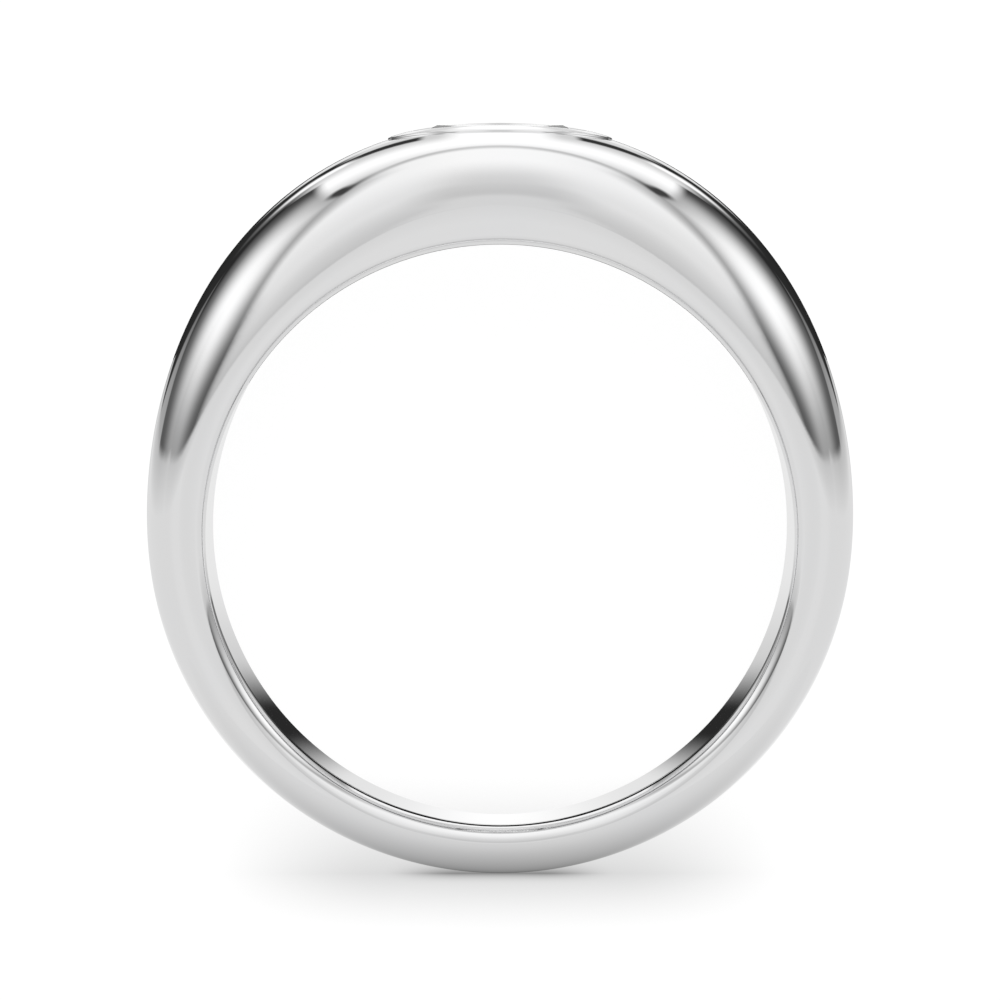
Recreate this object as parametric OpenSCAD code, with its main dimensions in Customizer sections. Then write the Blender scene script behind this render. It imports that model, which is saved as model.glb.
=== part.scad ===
// Oval bezel set ring, lying on one flat side as it rests by itself.
// Ring frame, used by every function: X across, Y from the finger hole's centre to the head, Z along the finger.

/* [Finger hole] */
// Diameter of the finger hole
bore_d = 17.35; // [15.7:0.05:19.8]
// Size of the soft edge where the hole meets each side face
edge_size = 0.3; // [0.2:0.05:0.4]
// Extra size outwards of that edge at the foot
edge_out = 0.17; // [0:0.01:0.2]
// Extra depth of that edge at the foot, along the finger and before the sides are sloped
edge_in = 0.7; // [0:0.05:0.8]
// Squareness of that edge, where 1 is a chamfer and 2 a circle
edge_power = 1.5; // [1.2:0.1:2]

/* [Band] */
// Outer diameter of the round lower part
shank_d = 21; // [20.6:0.02:21.6]
// How far the centre of that round part lies towards the head
shank_shift = 0.25; // [0.1:0.05:0.4]
// Extra height of the head above the round part
head_rise = 1.4; // [1:0.05:1.8]
// Angle from the head at which the band starts to thicken
rise_angle = 98; // [85:1:110]
// Width across the two side faces at the middle of the finger hole
mid_w = 5.86; // [5:0.02:6.6]
// Slope of each side face, wide at the head and narrow at the foot
side_slope = 7; // [4:0.5:8]
// Share of the wall's thickness that is rounded into the crown
crown_share = 0.665; // [0.5:0.005:0.7]
// Extra share that is rounded at the shoulders, 45 degrees from the head
shoulder_share = 0.145; // [0:0.005:0.2]
// Squareness of the crown, where 2 is an ellipse
crown_power = 2.5; // [2:0.1:3.2]

/* [Stone] */
// Length of the stone, along the band
stone_l = 6; // [5:0.1:6.4]
// Width of the stone, along the finger
stone_w = 4; // [3.4:0.1:4.2]
// Table width as a share of the stone
table_share = 0.62; // [0.54:0.01:0.66]
// Height of the stone's table above the finger hole's centre
table_y = 12.08; // [12:0.01:12.15]
// Height of the crown facets
crown_h = 0.58; // [0.45:0.01:0.65]
// Height of the girdle
girdle_h = 0.12; // [0.08:0.01:0.16]
// Depth of the pavilion
pavilion_h = 1.72; // [1.5:0.02:1.9]

/* [Bezel] */
// Wall of the bezel outside the stone's girdle
bezel_wall = 0.33; // [0.26:0.01:0.4]
// How far the rim stands above the band's crown
rim_relief = 0.07; // [0.04:0.01:0.12]
// Mouth of the rim as a share of the stone
mouth_share = 0.88; // [0.84:0.01:0.92]
// Opening under the stone as a share of the stone
light_share = 0.78; // [0.6:0.02:0.82]
// Gap between the stone and its seat
seat_gap = 0.04; // [0.02:0.01:0.06]

/* [Frame] */
// Distance that the whole ring is moved so that the origin is under its middle
centre_shift = 1.0; // [0.8:0.01:1.2]

/* [Hidden] */

bore_r = bore_d / 2;
shank_r = shank_d / 2;
half_mid = mid_w / 2;
plateau_angle = 2;
stations = 96;
crown_steps = 9;
rim_steps = 48;
round_fn = 96;
hidden_depth = 0.5;
cutter_l = 40;
rim_sink = 0.45;
rim_lean = 0.05;
rim_in = -stone_w / 2 * (1 - mouth_share);
rim_hidden = 0.3;
girdle_top = table_y - crown_h;
girdle_bottom = girdle_top - girdle_h;
facets = 8;
facet_turn = 360 / facets;
star_share = 0.8;
lower_share = 0.3;
star_h = crown_h * (1 - star_share * cos(facet_turn / 2)) / (1 - table_share);
lower_h = pavilion_h * (1 - lower_share * cos(facet_turn / 2));

// Smooth step with flat ends, used where the head grows out of the band
function ease(t) = let (c = min(1, max(0, t))) c * c * c * (c * (6 * c - 15) + 10);

// Angle from the head, always 0 to 180
function from_head(turn) = abs(turn > 180 ? turn - 360 : turn);

// Outer radius of the band's crest at a turn from the head
function crest_r(turn) =
    let (a = from_head(turn))
    shank_shift * cos(a) + sqrt(pow(shank_r, 2) - pow(shank_shift * sin(a), 2))
    + head_rise * ease((rise_angle - a) / (rise_angle - plateau_angle));

// Share of the wall that is crown at a turn from the head
function crown_at(turn) = crown_share + shoulder_share * pow(sin(2 * min(90, from_head(turn))), 2);

// Size of the hole's soft edges at a turn from the head: [outwards, along the finger]
function edge_at(turn) =
    let (low = pow(sin(max(0, from_head(turn) - 90)), 2))
    [edge_size + edge_out * low, edge_size + edge_in * low];

// Half the width between the side faces at a height y in the ring frame
function half_w(y) = half_mid + y * tan(side_slope);

// Radius of the crown at a turn, u being the place across the width from 0 to 1
function crown_r(turn, u) =
    let (wall = crest_r(turn) - bore_r, share = crown_at(turn))
    bore_r + (1 - share) * wall
    + share * wall * pow(1 - pow(min(1, u), crown_power), 1 / crown_power);

// One half of a section, from inside the hole's wall to the crest, as [radius, place across the width]
function edge_points(turn) = [
    for (a = [25, 57, 90])
        let (p = 2 / edge_power, edge = edge_at(turn))
        [bore_r + edge[0] * (1 - pow(cos(a), p)), 1 - edge[1] * (1 - pow(sin(a), p)) / half_mid]
];
function half_section(turn) = concat(
    [[bore_r - hidden_depth, 1 - (edge_at(turn)[1] + 0.8) / half_mid]],
    edge_points(turn),
    [for (i = [0 : crown_steps - 1])
        let (a = 90 * i / crown_steps, u = pow(cos(a), 2 / crown_power))
        [crown_r(turn, u), u]]
);
function mirrored(points) = [for (i = [len(points) - 1 : -1 : 0]) [points[i][0], -points[i][1]]];
function section(turn) = concat(half_section(turn), [[crest_r(turn), 0]], mirrored(half_section(turn)));

// A section point set at its turn, with the slope of the sides
function placed(p, turn) =
    let (x = p[0] * sin(turn), y = p[0] * cos(turn))
    [x, y, p[1] * half_w(y)];

// Height of the crown over a point of the head, found by repeated correction
function crown_y(x, z, y = 12, tries = 6) =
    tries == 0 ? y
    : let (r = crown_r(atan2(x, y), abs(z) / half_w(y)))
      crown_y(x, z, sqrt(r * r - x * x), tries - 1);

// Faces that join closed loops of n points into a closed ring of loops
function loop_faces(loops, n) = [
    for (i = [0 : loops - 1])
        for (j = [0 : n - 1])
            let (a = i * n + j, b = i * n + (j + 1) % n,
                 c = ((i + 1) % loops) * n + (j + 1) % n, d = ((i + 1) % loops) * n + j)
            each [[a, b, c], [a, c, d]]
];

// The band with its domed head, before the finger hole and the seat are cut
module band_blank() {
    sections = [for (i = [0 : stations - 1]) section(360 * i / stations)];
    polyhedron(
        points = [for (i = [0 : stations - 1]) for (p = sections[i]) placed(p, 360 * i / stations)],
        faces = loop_faces(stations, len(sections[0]))
    );
}

// One section of the rim at an angle round the oval: [distance outside the stone, height over the crown]
rim_section = [
    [bezel_wall, -rim_sink],
    [bezel_wall, rim_relief * 0.3],
    [bezel_wall - rim_lean, rim_relief * 0.8],
    [bezel_wall - 3 * rim_lean, rim_relief],
    [rim_in + rim_lean, rim_relief],
    [rim_in - rim_hidden, rim_relief * 0.4],
    [rim_in - rim_hidden, -rim_sink]
];

// The raised rim that holds the stone and follows the curve of the crown
module bezel_rim() {
    polyhedron(
        points = [
            for (i = [0 : rim_steps - 1])
                for (p = rim_section)
                    let (a = 360 * i / rim_steps,
                         x = (stone_l / 2 + p[0]) * cos(a), z = (stone_w / 2 + p[0]) * sin(a))
                    [x, crown_y(x, z) + p[1], z]
        ],
        faces = loop_faces(rim_steps, len(rim_section))
    );
}

// A cone with the stone's oval outline, its axis on Y, between two heights
module oval_cone(y_low, y_high, share_low, share_high, extra) {
    translate([0, y_low, 0])
        rotate([-90, 0, 0])
            scale([1, (stone_w / 2 + extra) / (stone_l / 2 + extra), 1])
                cylinder(h = y_high - y_low, r1 = (stone_l / 2 + extra) * share_low,
                         r2 = (stone_l / 2 + extra) * share_high, $fn = round_fn);
}

// What is cut out for the stone: the light opening, the seat, the girdle's groove and the mouth
module seat_cut() {
    seat_low = girdle_bottom - lower_h * (1 - light_share) / (1 - lower_share);
    lip_high = girdle_top + star_h * (1 - mouth_share) / (1 - star_share);
    union() {
        oval_cone(bore_r - 1, seat_low, light_share, light_share, 0);
        oval_cone(seat_low - seat_gap, girdle_bottom - seat_gap, light_share, 1, seat_gap);
        oval_cone(girdle_bottom - seat_gap * 1.5, girdle_top + seat_gap, 1, 1, seat_gap);
        oval_cone(girdle_top + seat_gap * 0.9, lip_high + seat_gap, 1, mouth_share, seat_gap);
        oval_cone(lip_high, table_y + 1, mouth_share, mouth_share, 0);
    }
}

module finger_hole() {
    cylinder(h = cutter_l, r = bore_r, center = true, $fn = round_fn);
}

// A ring of points on the stone, [share of the outline, height], every step degrees from start
function stone_ring(share, y, start, step) = [
    for (a = [start : step : start + 359])
        [stone_l / 2 * share * cos(a), y, stone_w / 2 * share * sin(a)]
];

// Brilliant cut: table, stars, kites, halves, girdle, and the same below down to the culet
module brilliant() {
    half_turn = facet_turn / 2;
    table = stone_ring(table_share, table_y, 0, facet_turn);
    stars = stone_ring(star_share, girdle_top + star_h, half_turn, facet_turn);
    upper = stone_ring(1, girdle_top, 0, half_turn);
    lower = stone_ring(1, girdle_bottom, 0, half_turn);
    pavilion = stone_ring(lower_share, girdle_bottom - lower_h, half_turn, facet_turn);
    s0 = facets;
    u0 = 2 * facets;
    l0 = 4 * facets;
    p0 = 6 * facets;
    culet = 7 * facets;
    polyhedron(
        points = concat(table, stars, upper, lower, pavilion, [[0, girdle_bottom - pavilion_h, 0]]),
        faces = concat(
            [[for (k = [0 : facets - 1]) k]],
            [for (k = [0 : facets - 1]) let (n = (k + 1) % facets, b = (k + facets - 1) % facets) each [
                [k, s0 + k, n],
                [k, s0 + b, u0 + 2 * k, s0 + k],
                [s0 + k, u0 + 2 * k, u0 + 2 * k + 1],
                [s0 + k, u0 + 2 * k + 1, u0 + 2 * n],
                [p0 + k, l0 + 2 * k + 1, l0 + 2 * k],
                [p0 + k, l0 + 2 * n, l0 + 2 * k + 1],
                [culet, p0 + k, l0 + 2 * k, p0 + b]
            ]],
            [for (j = [0 : 2 * facets - 1]) let (n = (j + 1) % (2 * facets))
                [u0 + j, l0 + j, l0 + n, u0 + n]]
        )
    );
}

// Lays the ring frame on its lower side face, with that face on the ground
module at_rest() {
    translate([0, -centre_shift, half_mid * cos(side_slope)])
        rotate([side_slope, 0, 0])
            children();
}

module ring_body() {
    color("silver")
        at_rest()
            difference() {
                union() {
                    band_blank();
                    bezel_rim();
                }
                finger_hole();
                seat_cut();
            }
}

module center_stone() {
    color("aliceblue")
        at_rest()
            brilliant();
}

ring_body();
center_stone();
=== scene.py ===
# %% [markdown]
# # An oval bezel set ring
#
# A polished white metal band, thin at the foot and domed at the head, holds one oval cut stone inside
# a low rim. The ring lies on its flat side, as a ring without a stand does, and the camera looks
# down on it along the finger hole.

# %% Load the frame
import math
import bpy
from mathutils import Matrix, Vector


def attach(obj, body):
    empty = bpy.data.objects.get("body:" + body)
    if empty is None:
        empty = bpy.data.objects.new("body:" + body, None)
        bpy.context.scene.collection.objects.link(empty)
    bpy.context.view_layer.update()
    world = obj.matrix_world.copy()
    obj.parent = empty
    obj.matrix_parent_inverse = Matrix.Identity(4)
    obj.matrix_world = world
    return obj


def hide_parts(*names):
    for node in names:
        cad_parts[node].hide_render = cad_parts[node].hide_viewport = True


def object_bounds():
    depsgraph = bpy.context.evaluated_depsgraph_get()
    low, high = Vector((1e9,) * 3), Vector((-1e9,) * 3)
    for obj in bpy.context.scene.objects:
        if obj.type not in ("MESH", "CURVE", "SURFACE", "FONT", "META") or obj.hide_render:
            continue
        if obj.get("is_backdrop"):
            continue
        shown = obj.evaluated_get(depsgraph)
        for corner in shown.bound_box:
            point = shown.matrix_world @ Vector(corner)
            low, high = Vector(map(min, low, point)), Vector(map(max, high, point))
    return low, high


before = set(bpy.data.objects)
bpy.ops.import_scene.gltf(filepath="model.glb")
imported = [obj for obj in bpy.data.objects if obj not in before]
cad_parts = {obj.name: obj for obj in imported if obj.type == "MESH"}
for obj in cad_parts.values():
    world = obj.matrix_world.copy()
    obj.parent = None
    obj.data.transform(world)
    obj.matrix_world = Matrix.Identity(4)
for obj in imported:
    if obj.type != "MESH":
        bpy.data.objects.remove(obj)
cad_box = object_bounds()
print("frame nodes:", sorted(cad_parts))

# %% [markdown]
# ## Sizes
#
# The ring is drawn upright in its own directions and laid down at the end: X goes across, Y from the
# middle of the finger hole to the head, and Z along the finger. The source of the solids uses the
# same values. Scene files are in metres, so a millimetre gets a name.
#
# Seen along the finger, the outside is a circle a little off the middle of the hole, so that the
# wall grows evenly from the foot to the head. From a little below the sides up to the crest it also
# rises into a dome. The rise starts and ends with no bend, or it would show as a line in the mirror.

# %% Sizes of the ring
MM = 0.001
BORE_R = 8.675 * MM
SHANK_R = 10.5 * MM
SHANK_SHIFT = 0.25 * MM
HEAD_RISE = 1.4 * MM
RISE_FROM, RISE_TO = 98, 2


def from_head(turn):
    """Degrees from the head, the short way round."""
    return abs((turn + 180) % 360 - 180)


def crest_radius(turn):
    """Distance from the middle of the hole to the crest of the band, turn in degrees from the head."""
    a = from_head(turn)
    c, s = math.cos(math.radians(a)), math.sin(math.radians(a))
    rise = min(1, max(0, (RISE_FROM - a) / (RISE_FROM - RISE_TO)))
    ease = rise ** 3 * (rise * (6 * rise - 15) + 10)
    return SHANK_SHIFT * c + math.sqrt(SHANK_R ** 2 - (SHANK_SHIFT * s) ** 2) + HEAD_RISE * ease


walls = [round((crest_radius(turn) - BORE_R) / MM, 2) for turn in (0, 90, 180)]
print("wall at head, side and foot:", walls, "mm")

# %% [markdown]
# ## Helpers for working by hand
#
# Blender's operators act on whatever is selected, so each step first clears the selection and then
# picks vertices, edges or faces by where they are. These helpers keep that in one place.

# %% Picking and transforming
def clear_selection():
    if bpy.context.object and bpy.context.object.mode != "OBJECT":
        bpy.ops.object.mode_set(mode="OBJECT")
    bpy.ops.object.select_all(action="DESELECT")


def activate(piece):
    clear_selection()
    piece.select_set(True)
    bpy.context.view_layer.objects.active = piece


def named(name):
    piece = bpy.context.object
    piece.name = piece.data.name = name
    return piece


def pick(piece, kind, test):
    """Selects the elements whose corner points all pass the test, and leaves the piece in edit mode."""
    activate(piece)
    bpy.ops.object.mode_set(mode="EDIT")
    bpy.ops.mesh.select_mode(type=kind)
    bpy.ops.mesh.select_all(action="DESELECT")
    bpy.ops.object.mode_set(mode="OBJECT")
    mesh = piece.data
    points = [v.co.copy() for v in mesh.vertices]
    if kind == "VERT":
        chosen = [v for v in mesh.vertices if test([v.co])]
    else:
        elements = mesh.edges if kind == "EDGE" else mesh.polygons
        chosen = [e for e in elements if test([points[i] for i in e.vertices])]
    for element in chosen:
        element.select = True
    bpy.ops.object.mode_set(mode="EDIT")
    return len(chosen)


def apply_modifier(piece, kind, **settings):
    activate(piece)
    modifier = piece.modifiers.new(kind.title(), kind)
    for key, value in settings.items():
        setattr(modifier, key, value)
    bpy.ops.object.modifier_apply(modifier=modifier.name)


# %% [markdown]
# ## The band
#
# The real band is cast in one piece. Its section is a flat inside, two flat sides and a rounded
# crown, and where the finger goes in its edges are rounded so that they don't cut. One section is
# drawn first: a rectangle with its outer corners rounded until they meet, and its inner corners
# softened a little. A bevel's profile sets how square it is: the crown is a little fuller than a
# circle, and the hole's edge is nearer to a chamfer. Three groups of points are kept, to stretch the
# section later.

# %% Draw one section
HALF_WIDTH = 2.93 * MM
CROWN_POWER, CROWN_STEPS = 2.5, 24
EDGE_SIZE = 0.3 * MM
EDGE_POWER, EDGE_STEPS = 1.5, 8
DRAWN_FLAT = 1.4 * MM
DRAWN_WALL = DRAWN_FLAT + HALF_WIDTH
DRAWN_MIDDLE = (0, BORE_R + DRAWN_WALL / 2, 0)
TINY = 0.001 * MM


def rounding(power):
    """Bevel profile for a rounding of this power: 1 is a chamfer, 2 a circle, more is squarer."""
    return 0.5 ** (2 / power)


def keep_group(name, test):
    pick(band, "VERT", test)
    bpy.ops.object.vertex_group_assign_new()
    band.vertex_groups.active.name = name


clear_selection()
bpy.ops.mesh.primitive_plane_add(size=1, location=DRAWN_MIDDLE, rotation=(0, math.pi / 2, 0))
band = named("band")
bpy.ops.object.transform_apply(location=True, rotation=True, scale=True)
bpy.ops.object.mode_set(mode="EDIT")
bpy.ops.transform.resize(value=(1, DRAWN_WALL, 2 * HALF_WIDTH), center_override=DRAWN_MIDDLE)
pick(band, "VERT", lambda p: p[0].y > DRAWN_MIDDLE[1])
bpy.ops.mesh.bevel(offset=HALF_WIDTH, segments=CROWN_STEPS, profile=rounding(CROWN_POWER),
                   affect="VERTICES", clamp_overlap=True)
pick(band, "VERT", lambda p: p[0].y < BORE_R + TINY)
bpy.ops.mesh.bevel(offset=EDGE_SIZE, segments=EDGE_STEPS, profile=rounding(EDGE_POWER),
                   affect="VERTICES")
bpy.ops.mesh.select_all(action="SELECT")
bpy.ops.mesh.remove_doubles(threshold=TINY)
bpy.ops.mesh.delete(type="ONLY_FACE")
keep_group("crown", lambda p: p[0].y > BORE_R + DRAWN_FLAT - TINY)
keep_group("near_edge", lambda p: p[0].y < BORE_R + EDGE_SIZE + TINY and p[0].z > 0)
keep_group("far_edge", lambda p: p[0].y < BORE_R + EDGE_SIZE + TINY and p[0].z < 0)
bpy.ops.object.mode_set(mode="OBJECT")
print("section points:", len(band.data.vertices))

# %% [markdown]
# The section changes round the ring: the wall is thick at the head, the crown reaches further down
# the sides at the shoulders, and the hole's edges are softest at the foot. So the drawing is
# stretched a little from station to station. These helpers say how the section is shaped at a turn
# round the hole, and stretch its three groups of points.

# %% Shape the section for its place
CROWN_SHARE, SHOULDER_SHARE = 0.665, 0.145
EDGE_OUT, EDGE_IN = 0.17 * MM, 0.7 * MM


def section_at(turn):
    """Tops of the flat side and of the crest, and the hole's edge outwards and along the finger."""
    a, crest = from_head(turn), crest_radius(turn)
    share = CROWN_SHARE + SHOULDER_SHARE * math.sin(math.radians(2 * min(90, a))) ** 2
    low = math.sin(math.radians(max(0, a - 90))) ** 2
    flat = crest - share * (crest - BORE_R)
    return flat, crest, EDGE_SIZE + EDGE_OUT * low, EDGE_SIZE + EDGE_IN * low


def select_group(name):
    bpy.ops.mesh.select_all(action="DESELECT")
    bpy.ops.object.vertex_group_set_active(group=name)
    bpy.ops.object.vertex_group_select()


def reshape(old, new):
    """Stretches the drawn section from the old sizes to the new ones."""
    (old_flat, old_crest, old_out, old_in), (flat, crest, out, into) = old, new
    select_group("crown")
    growth = (crest - flat) / (old_crest - old_flat)
    bpy.ops.transform.resize(value=(1, growth, 1), center_override=(0, old_flat, 0))
    bpy.ops.transform.translate(value=(0, flat - old_flat, 0))
    for name, side in (("near_edge", 1), ("far_edge", -1)):
        select_group(name)
        bpy.ops.transform.resize(value=(1, out / old_out, into / old_in),
                                 center_override=(0, BORE_R, side * HALF_WIDTH))
    return new


flats = [round(section_at(turn)[0] / MM, 2) for turn in (0, 45, 90, 180)]
print("crown begins at head, shoulder, side and foot:", flats, "mm")

# %% [markdown]
# At each station a copy of the stretched drawing is turned to its place round the hole. Copies that
# are done are hidden, so that only the drawing is selected again. Bridging the rings of edges then
# skins the band.

# %% Copy the section round the hole and skin it
STATIONS = 240
bpy.ops.object.mode_set(mode="EDIT")
shape = (BORE_R + DRAWN_FLAT, BORE_R + DRAWN_WALL, EDGE_SIZE, EDGE_SIZE)
for station in range(STATIONS):
    turn = 360 * station / STATIONS
    shape = reshape(shape, section_at(turn))
    bpy.ops.mesh.select_all(action="SELECT")
    bpy.ops.mesh.duplicate()
    bpy.ops.transform.rotate(value=math.radians(turn), orient_axis="Z", center_override=(0, 0, 0))
    bpy.ops.mesh.hide(unselected=False)
bpy.ops.mesh.select_all(action="SELECT")
bpy.ops.mesh.delete(type="VERT")
bpy.ops.mesh.reveal(select=True)
bpy.ops.mesh.bridge_edge_loops(type="CLOSED")
bpy.ops.object.mode_set(mode="OBJECT")
print("band faces:", len(band.data.polygons))

# %% [markdown]
# The band is wide at the head and narrow at the foot. A taper along Y, kept off X, slopes both side
# faces at once. Its factor is the growth over the whole height of the piece, so the slope is
# multiplied by that height.

# %% Slope the sides
SIDE_SLOPE = math.radians(7)
band_height = crest_radius(0) + crest_radius(180)
apply_modifier(band, "SIMPLE_DEFORM", deform_method="TAPER", deform_axis="Y", lock_x=True,
               factor=math.tan(SIDE_SLOPE) / HALF_WIDTH * band_height)


def width_near(side):
    """Width along the finger in mm, at the head for side 1 and at the foot for side -1."""
    reach = [abs(v.co.z) for v in band.data.vertices if abs(v.co.x) < MM and v.co.y * side > 0]
    return round(2 * max(reach) / MM, 2)


print("width at head and foot:", width_near(1), "and", width_near(-1), "mm")

# %% [markdown]
# ## The bezel
#
# The bezel is the low oval rim that is pushed over the stone's edge. It is made from a circle of
# edges, which is stretched to an oval and then extruded again and again, each time to another oval
# or height. The opening under the stone is made in the same way later, so these steps are helpers.

# %% Working with ovals
STONE_L, STONE_W = 6 * MM, 4 * MM
OVAL_STEPS = 144


def oval(share=1, extra=0):
    """Half axes of an oval of the stone's shape, with a wall outside it."""
    return Vector((STONE_L / 2 * share + extra, STONE_W / 2 * share + extra))


def step_oval(old, new):
    """Extrudes the selected ring of edges and stretches it to another oval."""
    bpy.ops.mesh.extrude_region()
    bpy.ops.transform.resize(value=(new.x / old.x, 1, new.y / old.y), center_override=(0, 0, 0))


def flatten(height):
    """Brings all that is selected to one height above the middle of the hole."""
    bpy.ops.transform.resize(value=(1, 0, 1), center_override=(0, height, 0))


def start_oval(name, half_axes, height):
    """A new piece that is one oval of edges, level across the ring at this height."""
    clear_selection()
    bpy.ops.mesh.primitive_circle_add(vertices=OVAL_STEPS, radius=half_axes.x,
                                      location=(0, height, 0), rotation=(math.pi / 2, 0, 0))
    piece = named(name)
    bpy.ops.object.transform_apply(location=True, rotation=True, scale=True)
    bpy.ops.object.mode_set(mode="EDIT")
    bpy.ops.mesh.select_all(action="SELECT")
    bpy.ops.transform.resize(value=(1, 1, half_axes.y / half_axes.x), center_override=(0, 0, 0))
    return piece


print("stone outline:", [round(2 * half / MM, 2) for half in oval()], "mm")

# %% [markdown]
# The rim starts as a flat oval collar above the head, extruded inwards ring by ring. Shrinkwrap drops
# the collar straight down on the dome, so the rim takes its double curve from the band itself.

# %% Drop an oval collar on the dome
BEZEL_WALL = 0.33 * MM
MOUTH_SHARE = 0.88
ABOVE_HEAD = 14 * MM
COLLAR_RINGS = 6
outer, mouth = oval(extra=BEZEL_WALL), oval(MOUTH_SHARE)
bezel = start_oval("bezel", outer, ABOVE_HEAD)
for ring in range(COLLAR_RINGS):
    old = outer.lerp(mouth, ring / COLLAR_RINGS)
    step_oval(old, outer.lerp(mouth, (ring + 1) / COLLAR_RINGS))
bpy.ops.object.mode_set(mode="OBJECT")
apply_modifier(bezel, "SHRINKWRAP", target=band, wrap_method="PROJECT", use_project_y=True,
               use_negative_direction=True, use_positive_direction=False)
heights = [v.co.y / MM for v in bezel.data.vertices]
print("collar lies between", round(min(heights), 2), "and", round(max(heights), 2), "mm")

# %% [markdown]
# The rim has to fit the stone, so the stone's heights come first, from the table down to the culet.
# The table, the stars and the main facets below the girdle are given as shares of its radius. The
# lip and the seat follow the stone's own slopes and keep a small gap to it.

# %% Heights of the stone, the lip and the seat
TABLE_Y = 12.08 * MM
CROWN_H, GIRDLE_H, PAVILION_H = 0.58 * MM, 0.12 * MM, 1.72 * MM
GIRDLE_TOP = TABLE_Y - CROWN_H
GIRDLE_LOW = GIRDLE_TOP - GIRDLE_H
TABLE_SHARE, STAR_SHARE, LOWER_SHARE = 0.62, 0.8, 0.3
OPENING_SHARE = 0.78
SEAT_GAP = 0.04 * MM
STAR_H = CROWN_H * (1 - STAR_SHARE * math.cos(math.pi / 8)) / (1 - TABLE_SHARE)
LOWER_H = PAVILION_H * (1 - LOWER_SHARE * math.cos(math.pi / 8))
SEAT_LOW = GIRDLE_LOW - LOWER_H * (1 - OPENING_SHARE) / (1 - LOWER_SHARE)
LIP_HIGH = GIRDLE_TOP + STAR_H * (1 - MOUTH_SHARE) / (1 - STAR_SHARE)
print("girdle from", round(GIRDLE_LOW / MM, 2), "to", round(GIRDLE_TOP / MM, 2), "mm")
print("seat at", round(SEAT_LOW / MM, 2), "and lip at", round(LIP_HIGH / MM, 2), "mm")

# %% [markdown]
# The collar is lifted to the height of the rim. Its inner ring is extruded down to the stone's crown,
# out under the lip and round the girdle, in again as the seat that carries the stone, and down to
# the rim's foot. There it goes out, and a bridge up to the collar's outer ring makes the outer wall.

# %% Turn the collar into a rim, a lip and a seat
RIM_RELIEF = 0.07 * MM
BEZEL_FOOT = 10.7 * MM
OVAL_FIT = 0.001


def on_oval(half_axes):
    """A test for pick: all the points are on the upright wall of this oval."""
    def off(p):
        return abs(math.hypot(p.x / half_axes.x, p.z / half_axes.y) - 1)
    return lambda points: all(off(p) < OVAL_FIT for p in points)


pick(bezel, "VERT", lambda p: True)
bpy.ops.transform.translate(value=(0, RIM_RELIEF, 0))
pick(bezel, "EDGE", on_oval(mouth))
groove, opening = oval(extra=SEAT_GAP), oval(OPENING_SHARE)
inside = [(mouth, LIP_HIGH + SEAT_GAP),
          (groove, GIRDLE_TOP + SEAT_GAP),
          (groove, GIRDLE_LOW - SEAT_GAP),
          (oval(OPENING_SHARE, SEAT_GAP), SEAT_LOW - SEAT_GAP),
          (opening, SEAT_LOW - SEAT_GAP),
          (opening, BEZEL_FOOT)]
old = mouth
for new, height in inside:
    step_oval(old, new)
    flatten(height)
    old = new
step_oval(opening, outer)
pick(bezel, "EDGE", on_oval(outer))
bpy.ops.mesh.bridge_edge_loops()
bpy.ops.mesh.select_all(action="SELECT")
bpy.ops.mesh.normals_make_consistent(inside=False)
bpy.ops.object.mode_set(mode="OBJECT")
print("bezel faces:", len(bezel.data.polygons))

# %% [markdown]
# A polished rim has no sharp corners, so its outer and inner top edges are bevelled, the outer one
# a little more, since that is where the wheel reaches.

# %% Soften the rim
OUTER_EDGE, OUTER_STEPS = 0.05 * MM, 4
INNER_EDGE, INNER_STEPS = 0.03 * MM, 3


def ring_above(half_axes, height):
    """A test for pick: all the points are on this oval's wall and above a height."""
    near = on_oval(half_axes)
    return lambda points: near(points) and all(p.y > height for p in points)


print("outer edges:", pick(bezel, "EDGE", ring_above(outer, GIRDLE_TOP)))
bpy.ops.mesh.bevel(offset=OUTER_EDGE, segments=OUTER_STEPS, profile=rounding(2), affect="EDGES")
print("inner edges:", pick(bezel, "EDGE", ring_above(mouth, LIP_HIGH + 2 * SEAT_GAP)))
bpy.ops.mesh.bevel(offset=INNER_EDGE, segments=INNER_STEPS, profile=rounding(2), affect="EDGES")
bpy.ops.object.mode_set(mode="OBJECT")

# %% [markdown]
# ## The opening in the band
#
# Under the bezel the band is open, so that light reaches the stone and the stone can be cleaned from
# inside. A tool in the shape of the opening is made the same way as the bezel, and a boolean takes it
# out. Its wide part ends under the rim, which hides the cut.

# %% Cut the opening
IN_THE_HOLE = 7 * MM
SHELF_RISE = 0.05 * MM
shelf = BEZEL_FOOT + SHELF_RISE
wide = oval(extra=BEZEL_WALL / 2)
tool = start_oval("opening_tool", opening, IN_THE_HOLE)
for old, new, height in ((opening, opening, shelf), (opening, wide, shelf), (wide, wide, ABOVE_HEAD)):
    step_oval(old, new)
    flatten(height)
bpy.ops.mesh.select_all(action="SELECT")
bpy.ops.mesh.select_non_manifold()
bpy.ops.mesh.fill_holes(sides=0)
bpy.ops.mesh.select_all(action="SELECT")
bpy.ops.mesh.normals_make_consistent(inside=False)
bpy.ops.object.mode_set(mode="OBJECT")
print("tool faces:", len(tool.data.polygons))
apply_modifier(band, "BOOLEAN", operation="DIFFERENCE", solver="EXACT", object=tool)
activate(tool)
bpy.ops.object.delete()
print("band faces after the cut:", len(band.data.polygons))

# %% [markdown]
# ## The stone
#
# A cutter grinds a stone facet by facet against a flat wheel. The same is done here: a round blank is
# bisected by one plane after another, and each cut is filled. The first facet is the table, the
# large flat one on top.

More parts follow.
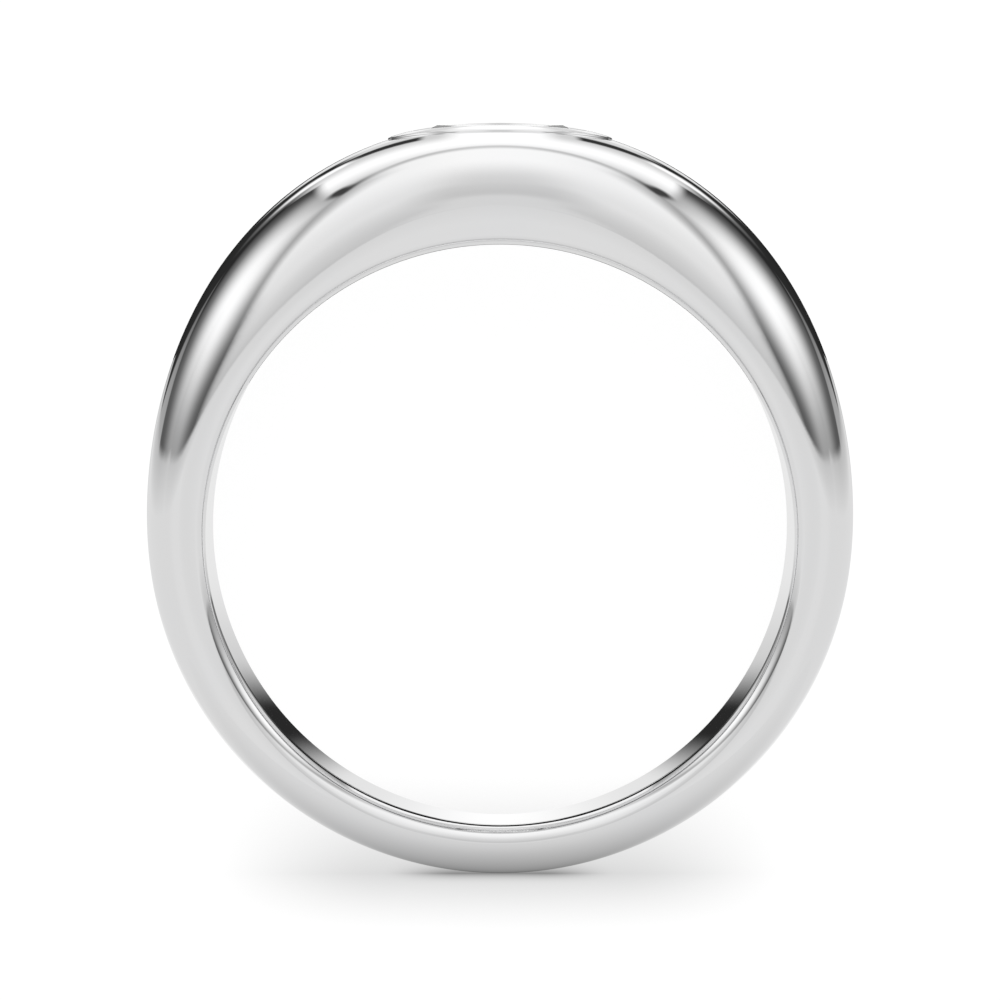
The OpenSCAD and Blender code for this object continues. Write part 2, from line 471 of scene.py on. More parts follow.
# %% Grind the table of a round blank
STONE_R = STONE_L / 2
BLANK_SIDES, BLANK_DEPTH, BLANK_Y = 96, 3 * MM, 11.4 * MM
ON_THE_PLANE = 0.00001 * MM
clear_selection()
bpy.ops.mesh.primitive_cylinder_add(vertices=BLANK_SIDES, radius=STONE_R, depth=BLANK_DEPTH,
                                    location=(0, BLANK_Y, 0), rotation=(math.pi / 2, 0, 0))
stone = named("cut_stone")
bpy.ops.object.transform_apply(location=True, rotation=True, scale=True)
bpy.ops.object.mode_set(mode="EDIT")


def on_stone(share, eighths, height):
    """A point on the round stone: share of the radius, turn in eighths of a circle, height."""
    a = eighths * math.pi / 4
    return Vector((STONE_R * share * math.cos(a), height, STONE_R * share * math.sin(a)))


def grind(*points):
    """Cuts the blank along the plane through three points, and keeps the side with its middle."""
    normal = (points[1] - points[0]).cross(points[2] - points[0]).normalized()
    middle = Vector((0, GIRDLE_LOW, 0))
    if normal.dot(points[0] - middle) < 0:
        normal.negate()
    bpy.ops.mesh.select_all(action="SELECT")
    bpy.ops.mesh.bisect(plane_co=points[0], plane_no=normal, use_fill=True, clear_outer=True,
                        threshold=ON_THE_PLANE)


grind(*[on_stone(TABLE_SHARE, k, TABLE_Y) for k in (0, 2, 5)])
print("table at", round(TABLE_Y / MM, 2), "mm")

# %% [markdown]
# A brilliant has 8 stars, 8 kites and 16 upper halves between its table and its girdle, and 16 lower
# halves and 8 mains below it. The stone is cut round and then squeezed to the oval, which keeps
# every facet flat.

# %% Grind the other facets
SAME_POINT = 0.0005 * MM
culet = Vector((0, GIRDLE_LOW - PAVILION_H, 0))
for k in range(8):
    half = k + 0.5
    edge, next_edge = on_stone(1, k, GIRDLE_TOP), on_stone(1, k + 1, GIRDLE_TOP)
    between, star = on_stone(1, half, GIRDLE_TOP), on_stone(STAR_SHARE, half, GIRDLE_TOP + STAR_H)
    star_before = on_stone(STAR_SHARE, k - 0.5, GIRDLE_TOP + STAR_H)
    corner, next_corner = on_stone(TABLE_SHARE, k, TABLE_Y), on_stone(TABLE_SHARE, k + 1, TABLE_Y)
    low, low_between = on_stone(1, k, GIRDLE_LOW), on_stone(1, half, GIRDLE_LOW)
    next_low = on_stone(1, k + 1, GIRDLE_LOW)
    facet = on_stone(LOWER_SHARE, half, GIRDLE_LOW - LOWER_H)
    facet_before = on_stone(LOWER_SHARE, k - 0.5, GIRDLE_LOW - LOWER_H)
    grind(corner, star, star_before)
    grind(corner, next_corner, star)
    grind(star, edge, between)
    grind(star, between, next_edge)
    grind(culet, facet, facet_before)
    grind(facet, low, low_between)
    grind(facet, low_between, next_low)
bpy.ops.mesh.select_all(action="SELECT")
bpy.ops.mesh.remove_doubles(threshold=SAME_POINT)
bpy.ops.transform.resize(value=(1, 1, STONE_W / STONE_L), center_override=(0, 0, 0))
bpy.ops.mesh.normals_make_consistent(inside=False)
bpy.ops.object.mode_set(mode="OBJECT")
print("stone faces:", len(stone.data.polygons))

# %% [markdown]
# ## Laid down at rest
#
# The finished pieces are smoothed, turned by the slope of the side faces and lowered on the floor, so
# that one flat side lies on it. The turn is then applied, because a finished piece keeps its place
# in its mesh. The metal pieces take the place of the solid metal of the frame, and the stone that of
# the solid stone.

# %% Smooth the pieces and lay the ring down
SMOOTH_BELOW = math.radians(32)
CENTRE_SHIFT = 1.0 * MM


def lay_down(piece):
    activate(piece)
    piece.rotation_euler.x = SIDE_SLOPE
    piece.location = (0, -CENTRE_SHIFT, HALF_WIDTH * math.cos(SIDE_SLOPE))
    bpy.ops.object.transform_apply(location=True, rotation=True, scale=True)


for piece in (band, bezel):
    activate(piece)
    bpy.ops.object.shade_smooth_by_angle(angle=SMOOTH_BELOW)
    apply_modifier(piece, "WEIGHTED_NORMAL", mode="FACE_AREA", keep_sharp=True)
for piece in (band, bezel, stone):
    lay_down(piece)
    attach(piece, "root")
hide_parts("ring_body")
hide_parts("center_stone")
lowest = [min(v.co.z for v in piece.data.vertices) for piece in (band, bezel, stone)]
print("lowest points:", [round(z / MM, 3) for z in lowest], "mm")

# %% [markdown]
# ## Finishes
#
# No polish is perfectly even, so each finish starts as a plain surface, and soft noise moves its
# colour, its roughness and its bumps a little. The noise is read from Object coordinates, which are
# metres on the finished piece, so its patches have a real size. These helpers make a material and
# add such drifts to it.

# %% Finish helpers
def new_material(name):
    material = bpy.data.materials.new(name)
    material.use_nodes = True
    nodes = material.node_tree.nodes
    coordinates = nodes.new("ShaderNodeTexCoord").outputs["Object"]
    return material, material.node_tree, nodes["Principled BSDF"], coordinates


def noise(tree, coordinates, size):
    """A soft noise whose patches are about this size."""
    node = tree.nodes.new("ShaderNodeTexNoise")
    node.inputs["Scale"].default_value = 1 / size
    tree.links.new(coordinates, node.inputs["Vector"])
    return node.outputs["Fac"]


def spread(tree, value, low, high, socket, start=0.3, end=0.7):
    """Sends a value, spread between low and high, to a socket."""
    node = tree.nodes.new("ShaderNodeMapRange")
    tree.links.new(value, node.inputs["Value"])
    for name, limit in (("From Min", start), ("From Max", end), ("To Min", low), ("To Max", high)):
        node.inputs[name].default_value = limit
    tree.links.new(node.outputs["Result"], socket)


def colours(tree, value, low, high, socket):
    """Sends a colour between low and high to a socket."""
    node = tree.nodes.new("ShaderNodeValToRGB")
    node.color_ramp.elements[0].color = (*low, 1)
    node.color_ramp.elements[1].color = (*high, 1)
    tree.links.new(value, node.inputs["Fac"])
    tree.links.new(node.outputs["Color"], socket)


def small_waves(tree, value, depth, shader):
    """Bends the reflections as waves of this depth would."""
    node = tree.nodes.new("ShaderNodeBump")
    node.inputs["Distance"].default_value = depth
    node.inputs["Strength"].default_value = 1
    tree.links.new(value, node.inputs["Height"])
    tree.links.new(node.outputs["Normal"], shader.inputs["Normal"])


def give(piece, material):
    piece.data.materials.clear()
    piece.data.materials.append(material)


# %% [markdown]
# The ring is white gold, polished to a mirror. Felt wheels leave it almost perfect: under a glass
# there is a trace of haze that comes and goes over a millimetre or two, and hair-fine waves. So the
# roughness drifts a little, the colour leans a touch from warm to cool, and a bump of a fraction of a
# thousandth of a millimetre keeps the reflections alive.

# %% Polished white metal
TONE_SIZE, HAZE_SIZE, WAVE_SIZE = 3 * MM, 1.6 * MM, 0.3 * MM
COOL_WHITE, WARM_WHITE = (0.892, 0.896, 0.906), (0.908, 0.904, 0.9)
CLEAREST, HAZIEST = 0.02, 0.045
WAVE_DEPTH = 0.0002 * MM
metal, metal_tree, shader, coordinates = new_material("polished_white_metal")
shader.inputs["Metallic"].default_value = 1
tone = noise(metal_tree, coordinates, TONE_SIZE)
colours(metal_tree, tone, COOL_WHITE, WARM_WHITE, shader.inputs["Base Color"])
haze = noise(metal_tree, coordinates, HAZE_SIZE)
spread(metal_tree, haze, CLEAREST, HAZIEST, shader.inputs["Roughness"])
small_waves(metal_tree, noise(metal_tree, coordinates, WAVE_SIZE), WAVE_DEPTH, shader)
for piece in (band, bezel):
    give(piece, metal)
print("metal nodes:", len(metal_tree.nodes))

# %% [markdown]
# The stone is clear and colourless with the strong refraction of a diamond, so its facets break up
# the light. They are polished, with the faintest unevenness left by the wheel. The girdle is left as
# it was ground round, a narrow frosted band. It is found by its height on the upright ring, so a
# Mapping node first undoes the turn that laid the ring down.

# %% Clear cut stone
DIAMOND_IOR = 2.417
FROST = 0.35
TINT_SIZE, WHEEL_SIZE = 1.2 * MM, 0.4 * MM
COOL_CLEAR, WARM_CLEAR = (0.985, 0.99, 1.0), (1.0, 1.0, 0.995)
WHEEL_DEPTH = 0.0001 * MM

stone_finish, stone_tree, shader, coordinates = new_material("clear_cut_stone")
shader.inputs["Transmission Weight"].default_value = 1
shader.inputs["IOR"].default_value = DIAMOND_IOR
stood_up = stone_tree.nodes.new("ShaderNodeMapping")
stood_up.vector_type = "TEXTURE"
stood_up.inputs["Rotation"].default_value = (SIDE_SLOPE, 0, 0)
stood_up.inputs["Location"].default_value = (0, -CENTRE_SHIFT, HALF_WIDTH * math.cos(SIDE_SLOPE))
stone_tree.links.new(coordinates, stood_up.inputs["Vector"])
upright = stone_tree.nodes.new("ShaderNodeSeparateXYZ")
stone_tree.links.new(stood_up.outputs["Vector"], upright.inputs["Vector"])
on_girdle = stone_tree.nodes.new("ShaderNodeMath")
on_girdle.operation = "COMPARE"
stone_tree.links.new(upright.outputs["Y"], on_girdle.inputs[0])
on_girdle.inputs[1].default_value = (GIRDLE_TOP + GIRDLE_LOW) / 2
on_girdle.inputs[2].default_value = GIRDLE_H / 2 - TINY
spread(stone_tree, on_girdle.outputs[0], 0.0, FROST, shader.inputs["Roughness"], 0, 1)
tint = noise(stone_tree, coordinates, TINT_SIZE)
colours(stone_tree, tint, COOL_CLEAR, WARM_CLEAR, shader.inputs["Base Color"])
small_waves(stone_tree, noise(stone_tree, coordinates, WHEEL_SIZE), WHEEL_DEPTH, shader)
give(stone, stone_finish)
print("stone nodes:", len(stone_tree.nodes))

# %% [markdown]
# ## The studio
#
# Polished metal has hardly any colour of its own: it shows the room it stands in. In the photograph
# that room is a white tent with a long panel over the ring, a bright card in a dark frame at each
# side and a pale table below. The same room is drawn on the world by direction, in a few soft-edged
# shapes, so that it falls on the curves of the metal in the same bands.
#
# These helpers write the sums of that drawing as nodes in one node tree. A value is a plain number
# or the output of another node.

# %% Node helpers
world = bpy.data.worlds.new("studio")
bpy.context.scene.world = world
world.use_nodes = True
tree = world.node_tree


def connect(socket, value):
    if isinstance(value, bpy.types.NodeSocket):
        tree.links.new(value, socket)
    else:
        socket.default_value = value


def calc(operation, *values):
    node = tree.nodes.new("ShaderNodeMath")
    node.operation = operation
    for socket, value in zip(node.inputs, values):
        connect(socket, value)
    return node.outputs[0]


def add(first, second):
    return calc("ADD", first, second)


def size_of(value):
    return calc("ABSOLUTE", value)


def scaled(value, factor, plus=0.0):
    return calc("MULTIPLY_ADD", value, factor, plus)


def length(first, second):
    """Length of the line whose two legs are given."""
    return calc("SQRT", add(calc("MULTIPLY", first, first), calc("MULTIPLY", second, second)))


print("nodes to begin with:", len(tree.nodes))

# %% [markdown]
# The shapes of the room have soft edges. A ramp takes a value from one height to another between two
# limits, evenly or with eased ends. A blend mixes two lights by a share between 0 and 1, and the
# place where several shares meet is their product.

# %% Soft edges and blends
def ramp(value, start, end, low=0.0, high=1.0, kind="LINEAR"):
    """Goes from low at start to high at end, and stays there."""
    node = tree.nodes.new("ShaderNodeMapRange")
    node.interpolation_type = kind
    sockets = ("Value", "From Min", "From Max", "To Min", "To Max")
    for name, setting in zip(sockets, (value, start, end, low, high)):
        connect(node.inputs[name], setting)
    return node.outputs["Result"]


def soft(value, start, end, low=0.0, high=1.0):
    """As ramp, with soft ends."""
    return ramp(value, start, end, low, high, "SMOOTHSTEP")


def blend(first, second, share):
    """The first value where the share is 0 and the second where it is 1."""
    node = tree.nodes.new("ShaderNodeMix")
    sockets = (socket for socket in node.inputs if socket.type == "VALUE")
    for socket, value in zip(sockets, (share, first, second)):
        connect(socket, value)
    return node.outputs[0]


def both(first, *others):
    """The place where several shares meet."""
    for share in others:
        first = calc("MULTIPLY", first, share)
    return first


# %% [markdown]
# Two angles say where a ray of light goes. Tilt is its angle from the camera's side of the finger
# axis: 0 towards the camera, 180 straight behind the ring. Turn is the angle round that axis: 0 is
# over the head, 90 at either side and 180 under the foot. Towards the camera the room leans down a
# little, as the camera looked slightly down on the real ring.

# %% Directions round the ring
FRONT_DIP = 0.27
direction = tree.nodes.new("ShaderNodeTexCoord").outputs["Generated"]
turned = tree.nodes.new("ShaderNodeMapping")
turned.vector_type = "VECTOR"
turned.inputs["Rotation"].default_value = (-SIDE_SLOPE, 0, 0)
tree.links.new(direction, turned.inputs["Vector"])
parts = tree.nodes.new("ShaderNodeSeparateXYZ")
tree.links.new(turned.outputs["Vector"], parts.inputs["Vector"])
towards = parts.outputs["Z"]
across = size_of(parts.outputs["X"])
over = scaled(calc("MAXIMUM", towards, 0.0), FRONT_DIP, parts.outputs["Y"])
tilt = calc("DEGREES", calc("ARCCOSINE", towards))
turn_round = calc("DEGREES", calc("ARCTAN2", across, over))


def from_point(turn, tilt_angle, half_turn, half_tilt):
    """Distance from a direction, 1 on an oval with these half axes in degrees."""
    beside = scaled(turn_round, 1 / half_turn, -turn / half_turn)
    above = scaled(tilt, 1 / half_tilt, -tilt_angle / half_tilt)
    return length(beside, above)


def beyond_line(slope, tilt_angle, turn=0):
    """Degrees of tilt beyond a slanting line through a direction."""
    return add(tilt, scaled(turn_round, slope, -tilt_angle - slope * turn))


print("room nodes with the two angles:", len(tree.nodes))

# %% [markdown]
# The side card gives the bright streak down each shoulder, and its dark frame the two dark lines
# beside it. The card is brightest level with the ring, dark near the camera and dusky behind the
# ring, where in the end only its dark back and a grey step on the table show. Its frame runs from
# the panel's edge to the table's. Beside the ring the table's edge bulges a little, which rounds the
# tip of the streak. In a call of ramp or soft the first two numbers are the angles in degrees
# between which a value changes. The names hold how light a part is, where 1 is white, or the turn or
# tilt at which it lies.

# %% Side card and its frame
PANEL_TURN_NEAR, PANEL_TURN_BESIDE = 72, 36
TABLE_TURN, BULGE_TURN, BULGE_TILT, TABLE_LIFT = 88.5, 89.2, 93, 8
CARD_TURN = 63
CARD_NEAR, CARD_FULL, CARD_DUSK, CARD_LAST, CARD_BACK = 0.08, 1.02, 0.28, 0.02, 0.022
FRAME_NEAR, FRAME_FULL, FRAME_LAST = 0.2, 0.37, 0.035
LOW_FRAME_NEAR, LOW_FRAME_FULL, LOW_FRAME_FADE = 0.1, 0.34, 0.28
STEP_TURN, STEP_START, STEP_END = 88, 139, 158
STEP_DARK, STEP_LIGHT = 0.16, 0.38

# where the panel and the table end, in degrees of turn
panel_edge = ramp(tilt, 0, 90, PANEL_TURN_NEAR, PANEL_TURN_BESIDE)
bulge = soft(size_of(add(tilt, -BULGE_TILT)), 24, 6, TABLE_TURN, BULGE_TURN)
table_edge = scaled(calc("POWER", ramp(tilt, 25, 90, 1, 0), 1.5), -TABLE_LIFT, bulge)

# the card's light, and the frame's above and below it
dusk = both(ramp(tilt, 122, 144, CARD_DUSK, CARD_LAST), soft(tilt, 108, 122))
bright = calc("MAXIMUM", both(soft(tilt, 19, 82, CARD_NEAR, CARD_FULL), soft(tilt, 145, 92)), dusk)
upper_frame = both(soft(tilt, 30, 60, FRAME_NEAR, FRAME_FULL), soft(tilt, 142, 108))
upper_frame = calc("MAXIMUM", upper_frame, FRAME_LAST)
lower_frame = both(soft(tilt, 25, 70, LOW_FRAME_NEAR, LOW_FRAME_FULL),
                   soft(tilt, 92, 132, 1, LOW_FRAME_FADE))

# all of it round the ring, with the card's back and the grey step far behind
up = ramp(turn_round, CARD_TURN, calc("MINIMUM", panel_edge, CARD_TURN - 2))
light = blend(bright, upper_frame, calc("MULTIPLY", up, up))
light = blend(light, lower_frame, soft(turn_round, CARD_TURN - 1, add(table_edge, -1)))
light = blend(light, CARD_BACK, soft(tilt, 140, 147))
step_low = beyond_line(0.3, STEP_START, STEP_TURN)
step_high = beyond_line(-0.45, STEP_END, STEP_TURN)
step = both(soft(step_low, -2, 2), soft(step_high, 2, -2), calc("GREATER_THAN", turn_round, 55))
light = blend(light, soft(turn_round, 66, 90, STEP_DARK, STEP_LIGHT), step)
print("room nodes with the side card:", len(tree.nodes))

# %% [markdown]
# The panel hangs over the ring and comes down in front of it, where it is greyer. The table takes
# over at the sides, a little darker where it meets the frame and lighter far behind. Close to the
# camera the panel ends in a darker wedge at each side of a small tongue of table light, which gives
# the head its soft grey bow. The sides of the head are a little crowned, so they run through the
# table's light from dark to light.

# %% Panel above and table below
PANEL_NEAR, PANEL_FULL = 0.64, 0.95
PANEL_SIDE_NEAR, PANEL_SIDE_FULL = 0.74, 0.90
WEDGE_TURN = 15
TABLE_LIGHT, TABLE_NEAR, TABLE_NEXT, TABLE_FAR = 0.69, 0.66, 0.715, 0.82
TABLE_RIM_BESIDE, TABLE_RIM_BEHIND = 0.54, 0.48
TONGUE_LIGHT, FRONT_MIDDLE = 0.655, 0.665
FRONT_DARK, FRONT_LIGHT = 0.555, 0.635
WEDGE_DARK, WEDGE_LIGHT = 0.54, 0.8

# the panel, from where it begins to fade to where it ends, wider near the camera
wedge = ramp(tilt, 15, 30, WEDGE_TURN, 0)
panel_start = add(panel_edge, add(soft(tilt, 40, 85, -8, -18), scaled(wedge, -0.6)))
panel_end = add(panel_edge, scaled(wedge, 1.05, 2))
panel_middle = soft(tilt, 20, 85, PANEL_NEAR, PANEL_FULL)
panel_side = soft(tilt, 10, 80, PANEL_SIDE_NEAR, PANEL_SIDE_FULL)
panel_light = blend(panel_middle, panel_side, soft(turn_round, 4, 22))
light = blend(light, panel_light, soft(turn_round, panel_end, panel_start))

# the table, with its darker rim and its lighter part far behind
near_table = ramp(tilt, 12, 26, TABLE_NEAR, TABLE_NEXT)
whole_table = blend(near_table, TABLE_LIGHT, soft(tilt, 40, 70))
table_rim = soft(tilt, 90, 130, TABLE_RIM_BESIDE, TABLE_RIM_BEHIND)
table_light = blend(table_rim, whole_table, ramp(turn_round, table_edge, add(table_edge, 9)))
table_light = blend(table_light, TABLE_FAR, both(soft(tilt, 148, 162), soft(turn_round, 112, 148)))
table_start, table_full = add(table_edge, -1.5), add(table_edge, soft(tilt, 20, 60, 2.5, 1))
light = blend(light, table_light, soft(turn_round, table_start, table_full))

# what lies close to the camera, by distance from it on a sphere of radius 1
from_front = length(across, over)
front = ramp(from_front, 0.3, 0.65, FRONT_DARK, FRONT_LIGHT)
front = blend(front, FRONT_MIDDLE, soft(from_front, 0.26, 0.08))
front = blend(front, ramp(from_front, 0, 0.6, WEDGE_DARK, WEDGE_LIGHT), soft(turn_round, 10, 28))
front = blend(front, TONGUE_LIGHT, both(soft(across, 0.045, 0.015), soft(over, 0.2, 0.1)))
front = blend(front, whole_table, soft(turn_round, 74, 92))
light = blend(front, light, soft(tilt, 12, 27))
print("room nodes with panel and table:", len(tree.nodes))

# %% [markdown]
# Behind the panel comes the backdrop. The seam between them is the grey line that curves over the
# head, darker towards its ends where it meets the side frames. The corner of the frame is a dark
# spot there, which the dome draws out into a small hook. Far behind, the backdrop ends more softly.

# %% Seam and backdrop above
SEAM_TILT, SEAM_CURVE, SEAM_HALF = 115, 0.0175, 8
SEAM_MIDDLE, SEAM_SIDE, CORNER_LIGHT = 0.6, 0.5, 0.05
CORNER_TURN, CORNER_TILT, CORNER_HALF_TURN, CORNER_HALF_TILT = 34.3, 99.5, 4.2, 10.5
BACKDROP_NEAR, BACKDROP_FULL, BACKDROP_SHADE = 0.74, 1.02, 0.62
BACKDROP_TURN, BACKDROP_END, BACKDROP_FAR_END = 34.8, 38.6, 45.5

seam_line = scaled(calc("MULTIPLY", turn_round, turn_round), -SEAM_CURVE, SEAM_TILT)
behind_seam = calc("SUBTRACT", tilt, seam_line)
seam_light = soft(turn_round, 1, 20, SEAM_MIDDLE, SEAM_SIDE)
seam_light = blend(seam_light, CORNER_LIGHT, soft(turn_round, 24, 34))
seam = both(soft(size_of(behind_seam), SEAM_HALF, 0), soft(turn_round, 37, 34))
light = blend(light, seam_light, seam)

crown_shade = both(soft(tilt, 132, 152), soft(turn_round, 6, 12))
backdrop_light = soft(tilt, 104, 128, BACKDROP_NEAR, BACKDROP_FULL)
backdrop_light = blend(backdrop_light, BACKDROP_SHADE, crown_shade)
backdrop_end = soft(tilt, 139, 144, BACKDROP_END, BACKDROP_FAR_END)
seam_softness = soft(turn_round, 20, 34, 6, 15)
backdrop = both(soft(behind_seam, 0, seam_softness), soft(turn_round, backdrop_end, BACKDROP_TURN))
light = blend(light, backdrop_light, backdrop)
corner = from_point(CORNER_TURN, CORNER_TILT, CORNER_HALF_TURN, CORNER_HALF_TILT)
light = blend(light, CORNER_LIGHT, soft(corner, 1, 0.3))
print("room nodes with the backdrop:", len(tree.nodes))

# %% [markdown]
# Far behind the ring the outline of the shoulders shows a lit lamp at each side, on a dark arm and
# with a weak glow on the card's side, and then a dark arc. Straight behind is what the wall of the
# finger hole shows: white backdrop above, a dark gap at each side and the table's far edge below.

# %% Lamps and the room straight behind
LAMP_TURN, LAMP_TILT, LAMP_HALF_TURN, LAMP_HALF_TILT = 37, 153.8, 15, 5.5
GLOW_TILT, GLOW_HALF_TURN, GLOW_HALF_TILT = 152.5, 24, 8
ARM_TILT, ARM_SLOPE, ARM_HALF = 149.8, -0.29, 6
LAMP_LIGHT, GLOW_LIGHT, ARM_LIGHT, ARC_LIGHT = 1.0, 0.25, 0.03, 0.02
SURROUND_LIGHT = 0.66
BEHIND_OVER, BEHIND_SHOULDER, BEHIND_GAP = 0.96, 0.74, 0.02
BEHIND_TABLE_EDGE, BEHIND_TABLE = 0.58, 0.75

# each side's lamp on its arm, with the glow
arm = size_of(beyond_line(ARM_SLOPE, ARM_TILT))
arm = both(soft(arm, ARM_HALF, 2.5), soft(turn_round, 13.5, 16), soft(turn_round, 42, 36))
light = blend(light, ARM_LIGHT, arm)
glow = from_point(LAMP_TURN, GLOW_TILT, GLOW_HALF_TURN, GLOW_HALF_TILT)
light = blend(light, GLOW_LIGHT, both(soft(glow, 1, 0.2), soft(turn_round, 36, 44)))
lamp = from_point(LAMP_TURN, LAMP_TILT, LAMP_HALF_TURN, LAMP_HALF_TILT)
light = blend(light, LAMP_LIGHT, both(soft(lamp, 1, 0.3), soft(turn_round, 27, 32)))

# a grey surround, and on it the dark arc, open over the head
light = blend(light, SURROUND_LIGHT, both(soft(tilt, 160, 163), soft(turn_round, 92, 88)))
far_arc = both(soft(tilt, 158, 161), soft(turn_round, 28, 36), soft(turn_round, 90, 84))
far_arc = blend(far_arc, 0.0, both(soft(tilt, 165, 168), soft(turn_round, 60, 45)))
light = blend(light, ARC_LIGHT, far_arc)

# straight behind, from over the head down to the table
behind = soft(turn_round, 0, 50, BEHIND_OVER, BEHIND_SHOULDER)
behind = blend(behind, BEHIND_GAP, soft(turn_round, 50, 76))
behind = blend(behind, BEHIND_TABLE_EDGE, soft(turn_round, 86, 108))
behind = blend(behind, BEHIND_TABLE, soft(turn_round, 100, 140))
light = blend(light, behind, soft(tilt, 167, 170.5))
print("room nodes with the lamps:", len(tree.nodes))

# %% [markdown]
# The camera itself sees a plain white backdrop. The standard view transform keeps white as white.

# %% Light the world
ROOM_STRENGTH = 1.1
rays = tree.nodes.new("ShaderNodeLightPath")
light = blend(light, 1.0, rays.outputs["Is Camera Ray"])
background = tree.nodes["Background"]
connect(background.inputs["Color"], light)
background.inputs["Strength"].default_value = ROOM_STRENGTH
bpy.context.scene.view_settings.view_transform = "Standard"
print("room nodes in all:", len(tree.nodes))

# %% [markdown]
# Two small black cards stand behind the ring, one tall and one wide. The soft edge of the finger
# hole shows them as the fine dark line along the wall at the foot. They are flat ovals, drawn and
# laid down as the ring is.

# %% Black cards behind the ring
CARDS_BEHIND = 15 * MM
ROUND_STEPS = 64
DEEP_BLACK = (0.02, 0.02, 0.02, 1)
black = bpy.data.materials.new("black_card")
black.use_nodes = True
shader = black.node_tree.nodes["Principled BSDF"]
shader.inputs["Base Color"].default_value = DEEP_BLACK
shader.inputs["Roughness"].default_value = 1
shader.inputs["Specular IOR Level"].default_value = 0


def oval_card(name, half_x, half_y, y=0.0, z=0.0):
    """A flat oval card of the studio, with its middle at this place in its own mesh."""
    clear_selection()
    bpy.ops.mesh.primitive_circle_add(vertices=ROUND_STEPS, radius=half_y, fill_type="NGON",
                                      location=(0, 0, 0))
    card = named(name)
    bpy.ops.object.mode_set(mode="EDIT")
    bpy.ops.transform.resize(value=(half_x / half_y, 1, 1))
    bpy.ops.transform.translate(value=(0, y, z))
    bpy.ops.object.mode_set(mode="OBJECT")
    card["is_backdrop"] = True
    return card


# half width, half height and height of the middle, in millimetres
for name, half_x, half_y, middle in (("card_tall", 7.3, 5.5, 5.5), ("card_wide", 15, 4.5, 7.5)):
    black_card = oval_card(name, half_x * MM, half_y * MM, middle * MM, -CARDS_BEHIND)
    lay_down(black_card)
    black_card.data.materials.append(black)
    print(name, "is", 2 * half_x, "by", 2 * half_y, "mm")

# %% [markdown]
# The real ring stood on its foot, and the underside of the foot mirrors the soft shadow that it
# throws on the table there. That patch of table is a small card just under the foot. Only mirror
# rays see it, and at its rim it has the light of the drawn table. The helpers now write into the
# card's own node tree.

# %% Table card under the foot
FOOT_GAP = 0.05 * MM
HALF_ACROSS, HALF_ALONG = 20 * MM, 8 * MM
SHADE_REACH = 1.8 * MM
foot_card = oval_card("card_under_foot", HALF_ACROSS, HALF_ALONG)
card_y = -crest_radius(180) - FOOT_GAP
foot_card.location = (0, card_y * math.cos(SIDE_SLOPE) - CENTRE_SHIFT,
                      card_y * math.sin(SIDE_SLOPE) + HALF_WIDTH * math.cos(SIDE_SLOPE))
foot_card.rotation_euler.x = math.pi / 2 + SIDE_SLOPE
foot_card.visible_camera = foot_card.visible_diffuse = False
foot_card.visible_shadow = foot_card.visible_transmission = False
shaded_table = bpy.data.materials.new("table_under_foot")
shaded_table.use_nodes = True
tree = shaded_table.node_tree
tree.nodes.clear()
place = tree.nodes.new("ShaderNodeSeparateXYZ")
tree.links.new(tree.nodes.new("ShaderNodeTexCoord").outputs["Object"], place.inputs["Vector"])
beside = scaled(place.outputs["X"], HALF_ALONG / HALF_ACROSS / SHADE_REACH)
distance = length(beside, scaled(place.outputs["Y"], 1 / SHADE_REACH))
shade = calc("EXPONENT", scaled(distance, -1))
glowing = tree.nodes.new("ShaderNodeEmission")
table_strength = TABLE_LIGHT * ROOM_STRENGTH
connect(glowing.inputs["Strength"], scaled(shade, -table_strength, table_strength))
surface = tree.nodes.new("ShaderNodeOutputMaterial")
tree.links.new(glowing.outputs["Emission"], surface.inputs["Surface"])
foot_card.data.materials.append(shaded_table)
print("card under the foot:", len(tree.nodes), "nodes")

# %% [markdown]
# The floor is a plain white table, bright enough to show as pure white. Mirror rays pass it, since
# the drawn room holds a table of its own. In the photograph the ring stands on its foot and throws a
# soft shadow only there. A ring that lies flat would throw none, so that shade is drawn in the
# floor's own material: a wide faint one and a small deep one. How far they reach is given in pixels
# of the photograph, 33 to a millimetre. Above the foot's line they reach further.

# %% Floor
FLOOR_RADIUS, FLOOR_STEPS = 3, 96
PIXEL = MM / 33.03
FOOT_Y = -11.25 * MM
WIDE_SHADE, WIDE_REACH, WIDE_POWER = 0.3, 66, 1.5
DEEP_SHADE, DEEP_REACH, DEEP_POWER = 0.45, 13, 3.0
UP_SHARE = 0.6
FLOOR_WHITE, FLOOR_GLOW = 0.2, 0.9
clear_selection()
bpy.ops.mesh.primitive_circle_add(vertices=FLOOR_STEPS, radius=FLOOR_RADIUS, fill_type="NGON",
                                  location=(0, 0, 0))
floor = named("studio_floor")
floor.visible_glossy = False
floor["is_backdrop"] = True
white = bpy.data.materials.new("white_table")
white.use_nodes = True
floor.data.materials.append(white)
tree = white.node_tree
place = tree.nodes.new("ShaderNodeSeparateXYZ")
tree.links.new(tree.nodes.new("ShaderNodeTexCoord").outputs["Object"], place.inputs["Vector"])
beside = calc("MULTIPLY", size_of(place.outputs["X"]), 1 / PIXEL)
below = calc("MULTIPLY", calc("SUBTRACT", FOOT_Y, place.outputs["Y"]), 1 / PIXEL)
below = calc("MAXIMUM", below, calc("MULTIPLY", below, -UP_SHARE))
wide_fall = calc("POWER", ramp(below, WIDE_REACH, 0), WIDE_POWER)
wide_shade = both(wide_fall, soft(beside, 320, 110), WIDE_SHADE)
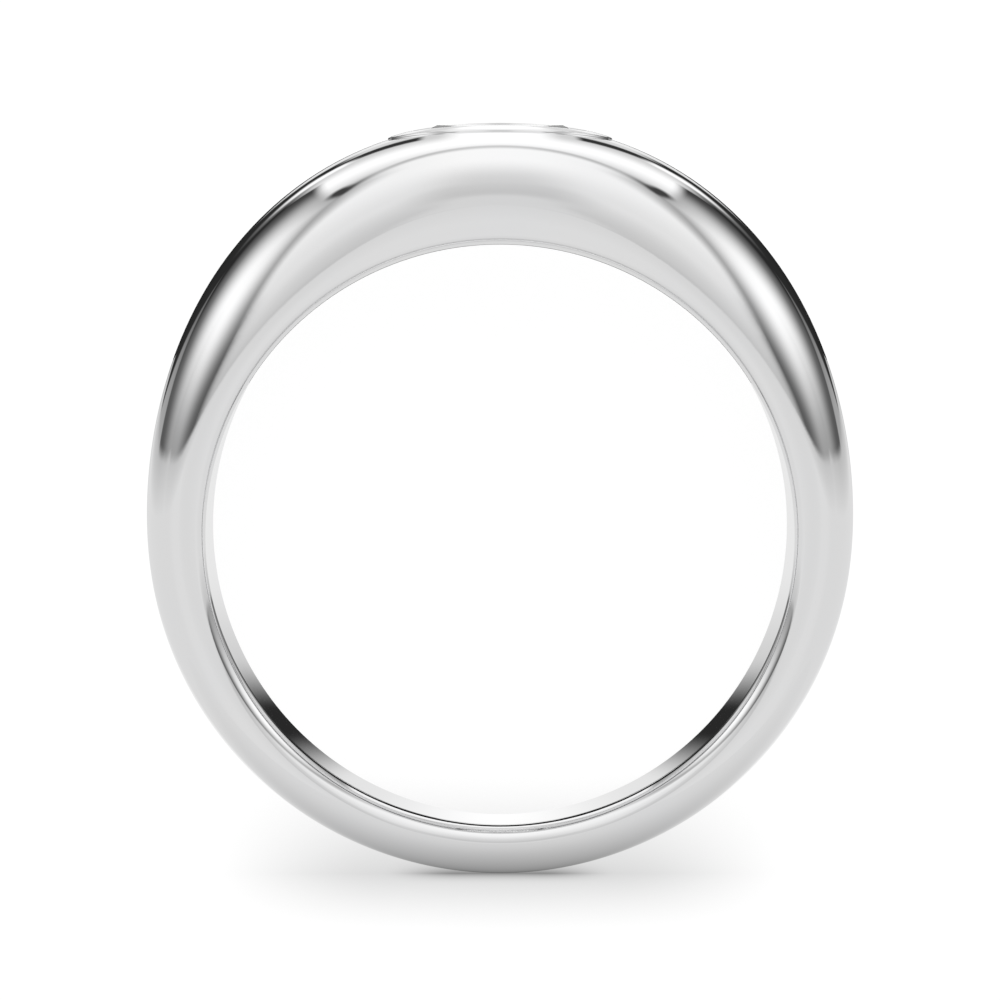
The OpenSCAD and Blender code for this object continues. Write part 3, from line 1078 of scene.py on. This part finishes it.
deep_fall = calc("POWER", ramp(below, DEEP_REACH, 0), DEEP_POWER)
deep_shade = both(deep_fall, soft(beside, 120, 40), DEEP_SHADE)
left_over = calc("SUBTRACT", calc("SUBTRACT", 1.0, wide_shade), deep_shade)
shader = tree.nodes["Principled BSDF"]
connect(shader.inputs["Base Color"], scaled(left_over, FLOOR_WHITE))
connect(shader.inputs["Emission Strength"], scaled(left_over, FLOOR_GLOW))
shader.inputs["Emission Color"].default_value = (1, 1, 1, 1)
shader.inputs["Roughness"].default_value = 1
shader.inputs["Specular IOR Level"].default_value = 0
print("floor nodes:", len(tree.nodes))

# %% [markdown]
# ## The camera
#
# The photograph looks along the finger with a long lens, a little from above. Here the ring lies on
# its side, so the camera hangs over it and keeps the same angle to it. The distance and the lens
# were found from how much smaller the far edge of the hole looks than the near one.

# %% Camera
HOLE_MIDDLE = Vector((0, -CENTRE_SHIFT, HALF_WIDTH * math.cos(SIDE_SLOPE)))
VIEW_TILT = math.radians(2.3)
DISTANCE = 198 * MM
FOCAL_PIXELS = 6635
FRAME_PIXELS = 1000
HOLE_BELOW_MIDDLE = 30.5
SENSOR_WIDTH = 36

bpy.ops.object.camera_add()
camera = named("camera")
camera.data.sensor_width = SENSOR_WIDTH
camera.data.lens = FOCAL_PIXELS / FRAME_PIXELS * SENSOR_WIDTH
towards_camera = Vector((0, -math.sin(VIEW_TILT), math.cos(VIEW_TILT)))
camera.location = HOLE_MIDDLE + DISTANCE * towards_camera
aim_turn = math.atan(HOLE_BELOW_MIDDLE / FOCAL_PIXELS)
camera.rotation_euler = (VIEW_TILT + aim_turn, 0, 0)
bpy.context.scene.camera = camera
print("camera height:", round(camera.location.z / MM, 1), "mm, lens:", round(camera.data.lens, 1), "mm")

# %% [markdown]
# ## Size of the finished ring
#
# The size of the finished ring is printed beside that of the solids, to see that it stays inside them.

# %% Finish
visual_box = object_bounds()
for name, box in (("solids", cad_box), ("finished ring", visual_box)):
    print(name, [round((high - low) / MM, 2) for low, high in zip(*box)], "mm")
